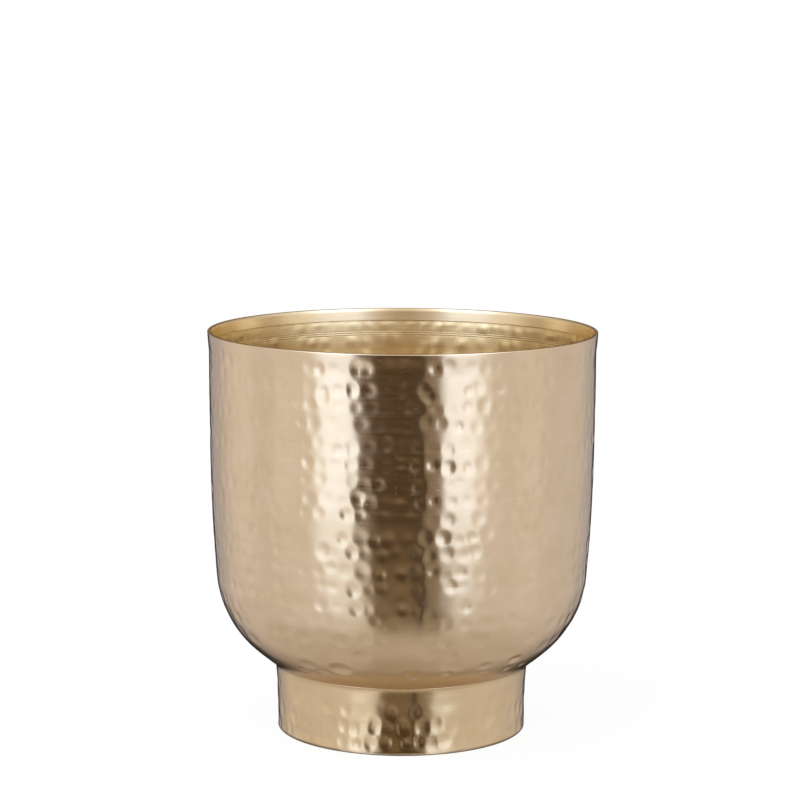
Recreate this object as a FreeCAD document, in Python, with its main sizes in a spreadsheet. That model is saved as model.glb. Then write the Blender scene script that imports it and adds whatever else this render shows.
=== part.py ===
import FreeCAD, Part
import math
import os
import Sketcher

# A spun and hammered brass cachepot that stands on a ring foot.
# Lengths are millimetres. The origin is the centre of the foot's lower edge, +Z up,
# and +Y is the back, where the foot's closing seam lies.

SIZES = [
    # the bowl's outer shape, from its mouth downwards: its underside is part of a ball,
    # whose radius is the rim's and dish_over_rim
    ("overall_height", 217.2),
    ("rim_radius", 105.0),
    ("flare_height", 11.0),
    ("flare_width", 0.8),
    ("wall_height", 53.3),
    ("wall_taper", 0.46),
    ("side_radius", 887.0),
    ("knuckle_radius", 56.7),
    ("dish_over_rim", 17.0),
    ("dish_lift", 14.9),
    ("flat_radius", 38.0),
    ("flat_edge_radius", 10.0),
    # the bowl's sheet, and the hem that is folded inwards at its mouth
    ("sheet", 1.0),
    ("hem_depth", 7.0),
    ("fold_round_share", 0.95),
    # the foot, a rolled strip that stands in from the rim and is a little wider at its top
    ("foot_inset", 37.6),
    ("foot_spread", 1.15),
    ("foot_sheet", 1.2),
    ("foot_edge_round_share", 0.35),
    ("seam_gap", 0.4),
    # the braze in the corner between the foot's inside and the bowl
    ("bead_wall_leg", 3.0),
    ("bead_dish_leg", 3.2),
]

START, END, CENTRE = range(1, 4)
ORIGIN = H_AXIS = -1
V_AXIS = H_AXIS - 1
QUARTER_TURN = 90
FULL_TURN = "360"
DISH_RADIUS = "(sizes.rim_radius + sizes.dish_over_rim)"
FOOT_RADIUS = "(sizes.rim_radius - sizes.foot_inset)"
SEAM_TURN = "sizes.seam_gap / " + FOOT_RADIUS + " * 180 / pi"
STRIP_TURN = "360 - " + SEAM_TURN
SAME_LEVEL = 1e-6

doc = FreeCAD.newDocument("cachepot")
sizes = doc.addObject("Spreadsheet::Sheet", "sizes")
for row, (alias, value) in enumerate(SIZES, start=1):
    sizes.set("A%d" % row, alias)
    sizes.set("B%d" % row, str(value))
    sizes.setAlias("B%d" % row, alias)
doc.recompute()


def value_of(expression):
    """Number that an expression of the sheet's sizes gives."""
    return float(sizes.evalExpression(expression))


def new_body(label, turn=0):
    """Empty body with its own label, turned about the upright axis."""
    body = doc.addObject("PartDesign::Body", label)
    body.Label = label
    upright = FreeCAD.Vector(0, 0, 1)
    body.Placement = FreeCAD.Placement(FreeCAD.Vector(), FreeCAD.Rotation(upright, turn))
    return body


def new_sketch(body, name):
    """Sketch on the body's upright plane: x is the distance from the axis, y the height."""
    sketch = body.newObject("Sketcher::SketchObject", name)
    plane = [item for item in body.Origin.OriginFeatures if item.Role == "XZ_Plane"][0]
    sketch.AttachmentSupport = [(plane, "")]
    sketch.MapMode = "FlatFace"
    return sketch


def add_line(sketch, start, end, construction=False):
    """Straight edge between two (radius, height) pairs."""
    line = Part.LineSegment(FreeCAD.Vector(*start), FreeCAD.Vector(*end))
    return sketch.addGeometry(line, construction)


def add_arc(sketch, centre, start, end, construction=False):
    """Arc about a centre, counter-clockwise from start to end."""
    first = math.atan2(start[1] - centre[1], start[0] - centre[0])
    last = math.atan2(end[1] - centre[1], end[0] - centre[0])
    circle = Part.Circle(FreeCAD.Vector(*centre), FreeCAD.Vector(0, 0, 1), math.dist(centre, start))
    return sketch.addGeometry(Part.ArcOfCircle(circle, first, last), construction)


def fix(sketch, kind, *ends):
    """Constraint that has no number."""
    sketch.addConstraint(Sketcher.Constraint(kind, *ends))


def bind(sketch, name, kind, ends, expression):
    """Constraint whose number follows an expression of the sheet's sizes."""
    index = sketch.addConstraint(Sketcher.Constraint(kind, *ends, value_of(expression)))
    sketch.renameConstraint(index, name)
    sketch.setExpression("Constraints." + name, expression)


def revolve(body, sketch, name, turn):
    """Solid of a sketch turned about the upright axis, half of the turn to each side."""
    feature = body.newObject("PartDesign::Revolution", name)
    feature.Profile = sketch
    feature.ReferenceAxis = (sketch, ["V_Axis"])
    feature.Midplane = True
    feature.setExpression("Angle", turn)
    doc.recompute()
    return feature


def round_edges(body, base, height, name, radius):
    """Fillet of a feature's round edges that lie at a height."""
    names = []
    for index, edge in enumerate(base.Shape.Edges, start=1):
        if isinstance(edge.Curve, Part.Circle) and edge.BoundBox.ZLength < SAME_LEVEL:
            if abs(edge.BoundBox.ZMin - height) < SAME_LEVEL:
                names.append("Edge%d" % index)
    feature = body.newObject("PartDesign::Fillet", name)
    feature.Base = (base, names)
    feature.setExpression("Radius", radius)
    doc.recompute()
    return feature


def dish_height(radius):
    """Height of the bowl's rounded underside at a distance from the axis."""
    dish = value_of(DISH_RADIUS)
    return value_of("sizes.dish_lift") + dish - math.sqrt(dish ** 2 - radius ** 2)


def hold_dish_arc(sketch, arc):
    """Ties an arc to the ball that the bowl's underside is part of."""
    fix(sketch, "PointOnObject", arc, CENTRE, V_AXIS)
    bind(sketch, "dish_radius", "Radius", (arc,), DISH_RADIUS)
    centre_height = "sizes.dish_lift + " + DISH_RADIUS
    bind(sketch, "dish_centre", "DistanceY", (ORIGIN, START, arc, CENTRE), centre_height)


def bowl_outline(sketch):
    """Half of the bowl's outer outline, closed along the axis and across the mouth."""
    height = value_of("sizes.overall_height")
    rim = (value_of("sizes.rim_radius"), height)
    flare = (rim[0] - value_of("sizes.flare_width"), height - value_of("sizes.flare_height"))
    wall = (flare[0] - value_of("sizes.wall_taper"), flare[1] - value_of("sizes.wall_height"))

    side = value_of("sizes.side_radius")
    knuckle = value_of("sizes.knuckle_radius")
    dish = value_of(DISH_RADIUS)
    lean = math.atan2(flare[0] - wall[0], flare[1] - wall[1])
    side_centre = (wall[0] - side * math.cos(lean), wall[1] + side * math.sin(lean))
    dish_centre = (0, value_of("sizes.dish_lift") + dish)
    knuckle_centre = inner_tangent_centre(side_centre, side - knuckle, dish_centre, dish - knuckle)
    knuckle_top = away_from(side_centre, knuckle_centre, side)
    knuckle_foot = away_from(dish_centre, knuckle_centre, dish)
    edge = value_of("sizes.flat_edge_radius")
    flat = value_of("sizes.flat_radius")
    edge_centre = (flat, dish_centre[1] - math.sqrt((dish - edge) ** 2 - flat ** 2))
    edge_top = away_from(dish_centre, edge_centre, dish)
    flat_end = (flat, edge_centre[1] - edge)

    axis = add_line(sketch, (0, flat_end[1]), (0, height))
    mouth = add_line(sketch, (0, height), rim)
    flare_line = add_line(sketch, rim, flare)
    wall_line = add_line(sketch, flare, wall)
    side_arc = add_arc(sketch, side_centre, knuckle_top, wall)
    knuckle_arc = add_arc(sketch, knuckle_centre, knuckle_foot, knuckle_top)
    dish_arc = add_arc(sketch, dish_centre, edge_top, knuckle_foot)
    edge_arc = add_arc(sketch, edge_centre, flat_end, edge_top)
    flat_line = add_line(sketch, flat_end, (0, flat_end[1]))

    fix(sketch, "Coincident", axis, END, mouth, START)
    fix(sketch, "Coincident", mouth, END, flare_line, START)
    fix(sketch, "Coincident", flare_line, END, wall_line, START)
    fix(sketch, "Tangent", wall_line, END, side_arc, END)
    fix(sketch, "Tangent", side_arc, START, knuckle_arc, END)
    fix(sketch, "Tangent", knuckle_arc, START, dish_arc, END)
    fix(sketch, "Tangent", dish_arc, START, edge_arc, END)
    fix(sketch, "Tangent", edge_arc, START, flat_line, START)
    fix(sketch, "Coincident", flat_line, END, axis, START)
    fix(sketch, "PointOnObject", axis, START, V_AXIS)
    fix(sketch, "PointOnObject", axis, END, V_AXIS)
    fix(sketch, "Horizontal", mouth)
    fix(sketch, "Horizontal", flat_line)
    bind(sketch, "rim_radius", "DistanceX", (ORIGIN, START, mouth, END), "sizes.rim_radius")
    bind(sketch, "overall_height", "DistanceY", (ORIGIN, START, mouth, END), "sizes.overall_height")
    bind(sketch, "flare_width", "DistanceX", (flare_line, END, flare_line, START), "sizes.flare_width")
    bind(sketch, "flare_height", "DistanceY", (flare_line, END, flare_line, START), "sizes.flare_height")
    bind(sketch, "wall_taper", "DistanceX", (wall_line, END, wall_line, START), "sizes.wall_taper")
    bind(sketch, "wall_height", "DistanceY", (wall_line, END, wall_line, START), "sizes.wall_height")
    bind(sketch, "side_radius", "Radius", (side_arc,), "sizes.side_radius")
    bind(sketch, "knuckle_radius", "Radius", (knuckle_arc,), "sizes.knuckle_radius")
    hold_dish_arc(sketch, dish_arc)
    bind(sketch, "flat_edge_radius", "Radius", (edge_arc,), "sizes.flat_edge_radius")
    bind(sketch, "flat_radius", "DistanceX", (ORIGIN, START, flat_line, START), "sizes.flat_radius")


def away_from(centre, through, distance):
    """Point at a distance from a centre, on the ray through a second point."""
    share = distance / math.dist(centre, through)
    return tuple(c + (p - c) * share for c, p in zip(centre, through))


def inner_tangent_centre(first, first_reach, second, second_reach):
    """Point at the given distances from two centres, on the outer side of the line between them."""
    apart = math.dist(first, second)
    along = (first_reach ** 2 - second_reach ** 2 + apart ** 2) / (2 * apart)
    across = math.sqrt(first_reach ** 2 - along ** 2)
    unit = ((second[0] - first[0]) / apart, (second[1] - first[1]) / apart)
    return (first[0] + along * unit[0] + across * unit[1], first[1] + along * unit[1] - across * unit[0])


def hem_outline(sketch):
    """The folded sheet inside the mouth, from the middle of the wall to the hem's free face."""
    height = value_of("sizes.overall_height")
    depth = value_of("sizes.hem_depth")
    lean = value_of("sizes.flare_width * sizes.hem_depth / sizes.flare_height")
    outer = value_of("sizes.rim_radius - sizes.sheet / 2")
    inner = value_of("sizes.rim_radius - 2 * sizes.sheet")
    low = height - depth
    corners = [(inner, height), (outer, height), (outer - lean, low), (inner - lean, low)]
    top, back, under, face = [
        add_line(sketch, corners[i], corners[(i + 1) % len(corners)]) for i in range(len(corners))
    ]
    for line, following in ((top, back), (back, under), (under, face), (face, top)):
        fix(sketch, "Coincident", line, END, following, START)
    fix(sketch, "Horizontal", top)
    fix(sketch, "Horizontal", under)
    fix(sketch, "Parallel", back, face)
    bind(sketch, "height", "DistanceY", (ORIGIN, START, top, START), "sizes.overall_height")
    bind(sketch, "inner", "DistanceX", (ORIGIN, START, top, START), "sizes.rim_radius - 2 * sizes.sheet")
    bind(sketch, "outer", "DistanceX", (ORIGIN, START, top, END), "sizes.rim_radius - sizes.sheet / 2")
    bind(sketch, "depth", "DistanceY", (face, START, face, END), "sizes.hem_depth")
    bind(sketch, "lean", "DistanceX", (face, START, face, END),
         "sizes.flare_width * sizes.hem_depth / sizes.flare_height")


def make_bowl():
    """Spun shell with a flat spot underneath and a hem folded inwards round its mouth."""
    body = new_body("bowl")
    outline = new_sketch(body, "bowl_outline")
    bowl_outline(outline)
    blank = revolve(body, outline, "bowl_blank", FULL_TURN)
    top = value_of("sizes.overall_height")

    shell = body.newObject("PartDesign::Thickness", "bowl_shell")
    mouth = [index for index, face in enumerate(blank.Shape.Faces, start=1)
             if abs(face.BoundBox.ZMin - top) < SAME_LEVEL]
    shell.Base = (blank, ["Face%d" % mouth[0]])
    shell.Reversed = True
    shell.Join = "Intersection"
    shell.setExpression("Value", "sizes.sheet")
    doc.recompute()

    hem = new_sketch(body, "hem_outline")
    hem_outline(hem)
    hemmed = revolve(body, hem, "hem", FULL_TURN)
    round_edges(body, hemmed, top, "fold", "sizes.sheet * sizes.fold_round_share")
    return body


def strip_outline(sketch, construction=False):
    """Section of the foot's strip, its top cut to the bowl's underside, its lower edges rounded.

    Gives the strip's inner line, which runs down, and its top arc, which runs outwards."""
    outside = value_of(FOOT_RADIUS)
    inside = outside - value_of("sizes.foot_sheet")
    edge = value_of("sizes.foot_sheet * sizes.foot_edge_round_share")
    spread = value_of("sizes.foot_spread")
    outer_top = (outside + spread, dish_height(outside + spread))
    inner_lean = spread * dish_height(inside) / outer_top[1]
    inner_top = (inside + inner_lean, dish_height(inside + inner_lean))
    centre = (0, value_of("sizes.dish_lift + " + DISH_RADIUS))
    outer_turn, inner_turn = (outside - edge, edge), (inside + edge, edge)

    under = add_line(sketch, (inside + edge, 0), (outside - edge, 0), construction)
    outer_round = add_arc(sketch, outer_turn, (outside - edge, 0), (outside, edge), construction)
    outer = add_line(sketch, (outside, edge), outer_top, construction)
    top = add_arc(sketch, centre, inner_top, outer_top, construction)
    inner = add_line(sketch, inner_top, (inside, edge), construction)
    inner_round = add_arc(sketch, inner_turn, (inside, edge), (inside + edge, 0), construction)
    fix(sketch, "Tangent", under, END, outer_round, START)
    fix(sketch, "Tangent", outer_round, END, outer, START)
    fix(sketch, "Coincident", outer, END, top, END)
    fix(sketch, "Coincident", top, START, inner, START)
    fix(sketch, "Tangent", inner, END, inner_round, START)
    fix(sketch, "Tangent", inner_round, END, under, START)
    fix(sketch, "PointOnObject", under, START, H_AXIS)
    fix(sketch, "Horizontal", under)
    fix(sketch, "Parallel", outer, inner)
    for arc, name in ((outer_round, "outer_round"), (inner_round, "inner_round")):
        bind(sketch, name, "Radius", (arc,), "sizes.foot_sheet * sizes.foot_edge_round_share")
    bind(sketch, "foot_radius", "DistanceX", (ORIGIN, START, outer, START), FOOT_RADIUS)
    bind(sketch, "foot_sheet", "DistanceX", (inner, END, outer, START), "sizes.foot_sheet")
    bind(sketch, "foot_spread", "DistanceX", (outer, START, outer, END), "sizes.foot_spread")
    hold_dish_arc(sketch, top)
    return inner, top


def make_foot_piece(label, turn, facing):
    """A part turn of the foot's strip, centred on a direction."""
    body = new_body(label, facing)
    section = new_sketch(body, label + "_section")
    strip_outline(section)
    revolve(body, section, label + "_strip", turn)
    return body


def make_braze_bead():
    """Run-out braze that fills the corner between the foot's inside and the bowl's underside."""
    body = new_body("foot_braze_bead")
    section = new_sketch(body, "bead_section")
    strip_inner, strip_top = strip_outline(section, construction=True)
    corner = section.getPoint(strip_inner, START)
    centre = section.getPoint(strip_top, CENTRE)
    wall_leg = value_of("sizes.bead_wall_leg")
    dish_leg = value_of("sizes.bead_dish_leg")
    corner = (corner.x, corner.y)
    wall_end = (corner[0], corner[1] - wall_leg)
    dish_end = (corner[0] - dish_leg, dish_height(corner[0] - dish_leg))

    wall = add_line(section, corner, wall_end)
    dish = add_arc(section, (centre.x, centre.y), dish_end, corner)
    face = add_line(section, wall_end, dish_end)
    fix(section, "Coincident", wall, START, strip_inner, START)
    fix(section, "PointOnObject", wall, END, strip_inner)
    fix(section, "Coincident", dish, CENTRE, strip_top, CENTRE)
    fix(section, "Coincident", dish, END, wall, START)
    fix(section, "Coincident", face, START, wall, END)
    fix(section, "Coincident", face, END, dish, START)
    bind(section, "wall_leg", "DistanceY", (wall, END, wall, START), "sizes.bead_wall_leg")
    bind(section, "dish_leg", "DistanceX", (dish, START, dish, END), "sizes.bead_dish_leg")
    revolve(body, section, "bead", FULL_TURN)
    return body


parts = [
    make_bowl(),
    make_foot_piece("foot_ring", STRIP_TURN, -QUARTER_TURN),
    make_foot_piece("foot_seam_solder", SEAM_TURN, QUARTER_TURN),
    make_braze_bead(),
]
doc.recompute()

for item in doc.Objects:
    if "Invalid" in item.State or "Error" in item.State:
        raise RuntimeError("%s did not recompute: %s" % (item.Label, item.State))
for part in parts:
    if part.Shape.isNull() or not part.Shape.isValid() or len(part.Shape.Solids) != 1:
        raise RuntimeError("%s is not one valid solid" % part.Label)

os.makedirs("parts", exist_ok=True)
for part in parts:
    part.Shape.exportStep("parts/%s.step" % part.Label)
    box = part.Shape.optimalBoundingBox(False, False)
    spans = (box.XLength, box.YLength, box.ZLength)
    print("%s: %.0f mm3, %.2f x %.2f x %.2f mm" % (part.Label, part.Shape.Volume, *spans))
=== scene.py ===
import math
import random

import bmesh
import bpy
import numpy as np
from mathutils import Matrix, Vector, noise


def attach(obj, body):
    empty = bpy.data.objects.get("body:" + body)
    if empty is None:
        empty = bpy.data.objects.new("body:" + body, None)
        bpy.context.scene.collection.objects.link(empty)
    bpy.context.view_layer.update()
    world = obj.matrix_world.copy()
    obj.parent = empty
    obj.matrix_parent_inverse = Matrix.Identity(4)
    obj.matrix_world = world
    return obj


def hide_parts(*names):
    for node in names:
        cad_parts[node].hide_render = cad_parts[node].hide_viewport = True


# Hammered brass cachepot on a ring foot. Metres, +Z up, the camera on the -Y side.
# An angle round the pot is counted from the camera's side towards +X.

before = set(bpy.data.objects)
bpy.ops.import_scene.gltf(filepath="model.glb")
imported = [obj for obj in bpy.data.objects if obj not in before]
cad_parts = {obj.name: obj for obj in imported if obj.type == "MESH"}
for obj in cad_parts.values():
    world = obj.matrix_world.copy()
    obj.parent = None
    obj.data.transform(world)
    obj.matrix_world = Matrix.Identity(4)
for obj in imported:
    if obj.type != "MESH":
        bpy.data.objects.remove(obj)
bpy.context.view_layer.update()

MM = 0.001

# Outline of the bowl, as the solids have it
HEIGHT = 217.2 * MM
RIM_RADIUS = 105.0 * MM
FLARE_HEIGHT = 11.0 * MM
FLARE_WIDTH = 0.8 * MM
WALL_HEIGHT = 53.3 * MM
WALL_TAPER = 0.46 * MM
SIDE_RADIUS = 887.0 * MM
KNUCKLE_RADIUS = 56.7 * MM
DISH_RADIUS = 122.0 * MM
DISH_LIFT = 14.9 * MM
FLAT_RADIUS = 38.0 * MM
FLAT_EDGE_RADIUS = 10.0 * MM
SHEET = 1.0 * MM

# The hem folded inwards round the mouth
FOLD_RADIUS = 0.98 * MM
FOLD_CENTRE = 103.93 * MM
FOLD_EDGE = 0.48 * MM
HEM_DEPTH = 7.0 * MM
HEM_EDGE_RADIUS = 0.14 * MM
HEM_GAP = 0.05 * MM
HEM_GAP_DEPTH = 0.6 * MM
FOLD_START = (-0.35 * MM, 0.9 * MM)

# Grooves left by the lathe tool inside, under the hem
GROOVES = (13.3 * MM, 14.4 * MM, 15.6 * MM)
GROOVE_HALF = 0.22 * MM
GROOVE_DEPTH = 0.09 * MM

# The foot's strip
FOOT_RADIUS = 67.4 * MM
FOOT_SPREAD = 1.15 * MM
FOOT_SHEET = 1.2 * MM
FOOT_EDGE = 0.42 * MM
SEAM_GAP = 0.4 * MM
COVE_WIDTH = 0.9 * MM
COVE_HEIGHT = 2.6 * MM
COVE_LEAN = 0.15 * MM
COVE_CORNER = (0.05 * MM, 0.6 * MM)
COVE_SHARES = (0.2, 0.4, 0.6, 0.8, 1.0)
SEAM_LAP = 0.3 * MM
SPREAD_POWER = 1.6

# Segments round the pot. A turn is made as one eighth and doubled three times.
OUTER_SEGMENTS = 448
INNER_SEGMENTS = 304
FOOT_SEGMENTS = 512
HALVINGS = 3
MERGE = 0.005 * MM
AXIS_MERGE = 0.001 * MM
SECTION_MERGE = 0.0001 * MM

# Steps between the rings, and the rings that keep the shading crisp beside an edge
ROW_STEP = 1.58 * MM
FOLD_STEP = 0.17 * MM
FOLD_INSIDE_STEP = 0.25 * MM
HEM_STEP = 1.6 * MM
HEM_EDGE_STEP = 0.08 * MM
HEM_EDGE_GUARD = 0.1 * MM
HEM_GAP_GUARD = 0.22 * MM
GROOVE_GUARD = 0.12 * MM
UNDER_HEM_STEP = 1.1 * MM
UPPER_INSIDE = 25 * MM
UPPER_INSIDE_STEP = 1.9 * MM
INSIDE_STEP = 2.8 * MM
KNUCKLE_INSIDE_STEP = 2.9 * MM
DISH_INSIDE_STEP = 4.5 * MM
DISH_STEP = 1.6 * MM
UNDER_FOOT_STEP = 4 * MM
FLAT_EDGE_STEP = 1.5 * MM
FLAT_STEP = 6 * MM
FOOT_STEP = 1.3 * MM
FOOT_EDGE_STEP = 0.2 * MM
FOOT_INSIDE_EDGE_STEP = 0.25 * MM
FOOT_INSIDE_STEP = 3 * MM

# Hammer marks: the wall's even rows, which grow larger and sparser low down
MARK_PITCH = 8.3 * MM
MARK_SIZE = 8.0 * MM
MARK_TALL = 1.05
MARK_MISSING = 0.06
ROW_PITCH = 9.45 * MM
ROW_PITCH_SHARES = (0.92, 1.08)
FIRST_ROW = 8.7 * MM
MARK_DEPTH = 0.36 * MM
LOW_MARKS = (132 * MM, 165 * MM)
LOW_PITCH_GAIN = 0.55
LOW_SIZE_GAIN = 3.2 * MM
LOW_TALL_LOSS = 0.2
LOW_DEPTH_GAIN = 0.8
LOW_MISSING_GAIN = 0.24
WALL_ROWS_END = 12 * MM

# The rows at the knuckle and on the foot, each placed from the knuckle's end or the foot's edge
KNUCKLE_ROWS = (
    {"along": -4.5 * MM, "pitch": 19.0 * MM, "size": 13.0 * MM,
     "tall": 0.7, "depth": 0.9 * MM, "missing": 0.3},
    {"along": 2.5 * MM, "pitch": 13.0 * MM, "size": 8.0 * MM,
     "tall": 0.7, "depth": 0.65 * MM, "missing": 0.3},
)
FOOT_ROWS = (
    {"along": -23.0 * MM, "pitch": 12.0 * MM, "size": 7.8 * MM,
     "tall": 1.25, "depth": 0.4 * MM, "missing": 0.45},
    {"along": -14.0 * MM, "pitch": 8.6 * MM, "size": 8.2 * MM,
     "tall": 1.35, "depth": 0.5 * MM, "missing": 0.1},
    {"along": -4.8 * MM, "pitch": 8.2 * MM, "size": 7.8 * MM,
     "tall": 1.2, "depth": 0.48 * MM, "missing": 0.06},
)

# How single marks stray from their row, and the profile of a mark
PLACE_STRAY = 0.15
ROW_SWAY = 1.3 * MM
ROW_STRAY = 0.12
SIZE_SHARES = (0.8, 1.15)
TALL_SHARES = (0.85, 1.15)
LEAST_DEPTH_SHARE = 0.36
DEPTH_SPREAD_SHARE = 0.84
DEPTH_POWER = 1.5
RIM_SHARPNESS = 3.4
SOFT_POWER = 1.5

# The marks' backs, seen as bumps inside
SOFT_DEPTH = 0.36 * MM
SOFT_SHARES = (0.45, 1.2)
SOFT_SPREAD = -0.3 * MM
SOFT_GAIN = 1.7
SOFT_KEPT_SHARE = 0.93

# Slow swell of the hammered sheet
BOWL_SWELL = 0.13 * MM
BOWL_WAVE = 24 * MM
INSIDE_SWELL = 0.02 * MM
FOOT_SWELL = 0.3 * MM
FOOT_WAVE = 15 * MM
SWELL_LIFT = 0.6
FINE_WAVE_SHARE = 0.35
FINE_WAVES = 2.4
BOWL_SWELL_START = (2 * MM, 12 * MM)
BOWL_SWELL_END = (8 * MM, 3 * MM)
FOOT_SWELL_START = (4 * MM, 12 * MM)
FOOT_MARKS_START = (4 * MM, 8 * MM)
BUMPS_START = (7.2 * MM, 9.5 * MM)

# Painted shade, where the tone changes: a warm painted shade by the joint, a golden painted shade deeper
# inside, a dark painted shade in the corners and grooves, and a painted contact shadow at the foot's edge
# Painted shade and reflection of the foot: a warm, darker band either side of the joint
JOINT_WARM_SHADE_SPAN = (3 * MM, 15 * MM)
# Painted shade: a dark line along the crevice where the foot meets the bowl
JOINT_PAINTED_SHADE = 0.35
JOINT_PAINTED_SHADE_WIDTH = 0.8 * MM
# Painted shade: a golden, darker tone deeper inside, for the light the inner walls reflect to one
# another; it lessens again towards the bottom
INSIDE_WARM_SHADE = 0.8
INSIDE_WARM_SHADE_START = (12 * MM, 27 * MM)
INSIDE_SHADE_FADE = 0.4
INSIDE_SHADE_FADE_START = (45 * MM, 120 * MM)
# Painted shade: a dark line in the crevice under the hem's edge
HEM_PAINTED_SHADE = 0.5
HEM_PAINTED_SHADE_WIDTHS = (0.05 * MM, 0.2 * MM)
# Painted shade: a dark line in each groove
GROOVE_PAINTED_SHADE = 0.35
GROOVE_NEAR = 0.01 * MM
# Painted contact shadow: dark along the foot's bottom edge, up to these heights
FOOT_PAINTED_SHADOW_HEIGHTS = (0.5 * MM, 1.0 * MM)

BOWL_SEED = 11
FOOT_SEED = 29

# Tones and finishes of the metals and the dust on them, and the tones of the painted shade. The lines'
# turn is a share of a full one.
BRASS_TONES = ((0.755, 0.62, 0.405), (0.845, 0.695, 0.51))
INSIDE_TONES = ((0.75, 0.595, 0.31), (0.93, 0.78, 0.49))
HEM_TONES = ((0.8, 0.66, 0.43), (0.88, 0.745, 0.51))
FOOT_TONES = ((0.73, 0.57, 0.345), (0.815, 0.655, 0.415))
# Colour of the dark painted shade in the crevices, the grooves and along the foot's bottom edge
PAINTED_SHADE_TONE = (0.16, 0.11, 0.065)
# Colour of the warm painted shade by the joint
JOINT_WARM_SHADE_TONE = (0.62, 0.465, 0.3)
# Colour of the golden painted shade inside
INSIDE_WARM_SHADE_TONE = (0.65, 0.44, 0.165)
DUST = (0.92, 0.82, 0.64)
DUST_ROUGHNESS = 0.7
LINES_TURN = 0.25
NOISE_SPAN = (0.3, 0.7)
BRAZE_TONES = ((0.52, 0.4, 0.24), (0.7, 0.56, 0.36))
BRAZE_SPAN = (0.35, 0.65)
BRAZE_LUMPS = 0.25 * MM
FINE_LINES = 0.004 * MM
COARSE_LINES = 0.008 * MM
SPECK_POWER = 1.1


def line_points(start, end, step):
    """Points from start to end in equal steps, the start left out."""
    count = max(1, round(math.dist(start, end) / step))
    return [tuple(a + (b - a) * i / count for a, b in zip(start, end)) for i in range(1, count + 1)]


def arc_points(centre, start, end, step):
    """Points on the shorter arc about a centre from start to end, the start left out."""
    radius = math.dist(centre, start)
    first = math.atan2(start[1] - centre[1], start[0] - centre[0])
    turn = math.remainder(math.atan2(end[1] - centre[1], end[0] - centre[0]) - first, math.tau)
    count = max(1, round(abs(turn) * radius / step))
    angles = [first + turn * i / count for i in range(1, count + 1)]
    return [(centre[0] + radius * math.cos(a), centre[1] + radius * math.sin(a)) for a in angles]


def away_from(centre, through, distance):
    """Point at a distance from a centre, on the ray through a second point."""
    share = distance / math.dist(centre, through)
    return tuple(c + (p - c) * share for c, p in zip(centre, through))


def tangent_centre(first, first_reach, second, second_reach):
    """Point at the given distances from two centres, on the outer side of the line between them."""
    apart = math.dist(first, second)
    along = (first_reach ** 2 - second_reach ** 2 + apart ** 2) / (2 * apart)
    across = math.sqrt(first_reach ** 2 - along ** 2)
    unit = ((second[0] - first[0]) / apart, (second[1] - first[1]) / apart)
    return (first[0] + along * unit[0] + across * unit[1], first[1] + along * unit[1] - across * unit[0])


class Shell:
    """Corners and centres of the bowl's section, for its outer skin or one set in by a depth."""

    def __init__(self, depth):
        self.flare = (RIM_RADIUS - FLARE_WIDTH - depth, HEIGHT - FLARE_HEIGHT)
        self.wall = (self.flare[0] - WALL_TAPER, self.flare[1] - WALL_HEIGHT)
        side, knuckle = SIDE_RADIUS - depth, KNUCKLE_RADIUS - depth
        dish, edge = DISH_RADIUS - depth, FLAT_EDGE_RADIUS - depth
        lean = math.atan2(WALL_TAPER, WALL_HEIGHT)
        self.side_centre = (self.wall[0] - side * math.cos(lean), self.wall[1] + side * math.sin(lean))
        self.dish_centre = (0, DISH_LIFT + DISH_RADIUS)
        self.knuckle_centre = tangent_centre(
            self.side_centre, side - knuckle, self.dish_centre, dish - knuckle,
        )
        self.knuckle_top = away_from(self.side_centre, self.knuckle_centre, side)
        self.knuckle_foot = away_from(self.dish_centre, self.knuckle_centre, dish)
        rise = math.sqrt((dish - edge) ** 2 - FLAT_RADIUS ** 2)
        self.edge_centre = (FLAT_RADIUS, self.dish_centre[1] - rise)
        self.edge_top = away_from(self.dish_centre, self.edge_centre, dish)
        self.flat_end = (FLAT_RADIUS, self.edge_centre[1] - edge)
        self.dish = dish

    def on_dish(self, radius):
        """Point of the round underside at a distance from the axis."""
        return (radius, self.dish_centre[1] - math.sqrt(self.dish ** 2 - radius ** 2))


outer = Shell(0)
inner = Shell(SHEET)
FLARE_LEAN = math.atan2(FLARE_WIDTH, FLARE_HEIGHT)


def fold_corner(side):
    """Centre of the fold's rounded edge, outside (1) or inside (-1) of the sheet."""
    return (FOLD_CENTRE + side * (FOLD_RADIUS - FOLD_EDGE), HEIGHT - FOLD_EDGE)


def along_flare(point, length):
    """Point further down a line that leans in as the flare does."""
    return (point[0] - length * math.sin(FLARE_LEAN), point[1] - length * math.cos(FLARE_LEAN))


def along_wall(point, length):
    """Point further down a line that leans in as the wall does."""
    return (point[0] - length * WALL_TAPER / WALL_HEIGHT, point[1] - length)


def outer_skin():
    """Section points of the bowl's outside, from the crest of the fold down to the axis."""
    corner = fold_corner(1)
    crest = (corner[0], HEIGHT)
    out = (corner[0] + FOLD_EDGE * math.cos(FLARE_LEAN), corner[1] - FOLD_EDGE * math.sin(FLARE_LEAN))
    foot_top = outer.on_dish(FOOT_RADIUS + FOOT_SPREAD)
    points = [crest]
    points += arc_points(corner, crest, out, FOLD_STEP)
    points += line_points(out, outer.flare, ROW_STEP)
    points += line_points(outer.flare, outer.wall, ROW_STEP)
    points += arc_points(outer.side_centre, outer.wall, outer.knuckle_top, ROW_STEP)
    points += arc_points(outer.knuckle_centre, outer.knuckle_top, outer.knuckle_foot, ROW_STEP)
    points += arc_points(outer.dish_centre, outer.knuckle_foot, foot_top, DISH_STEP)
    points += arc_points(outer.dish_centre, foot_top, outer.edge_top, UNDER_FOOT_STEP)
    points += arc_points(outer.edge_centre, outer.edge_top, outer.flat_end, FLAT_EDGE_STEP)
    points += line_points(outer.flat_end, (0, outer.flat_end[1]), FLAT_STEP)
    return points


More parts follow.
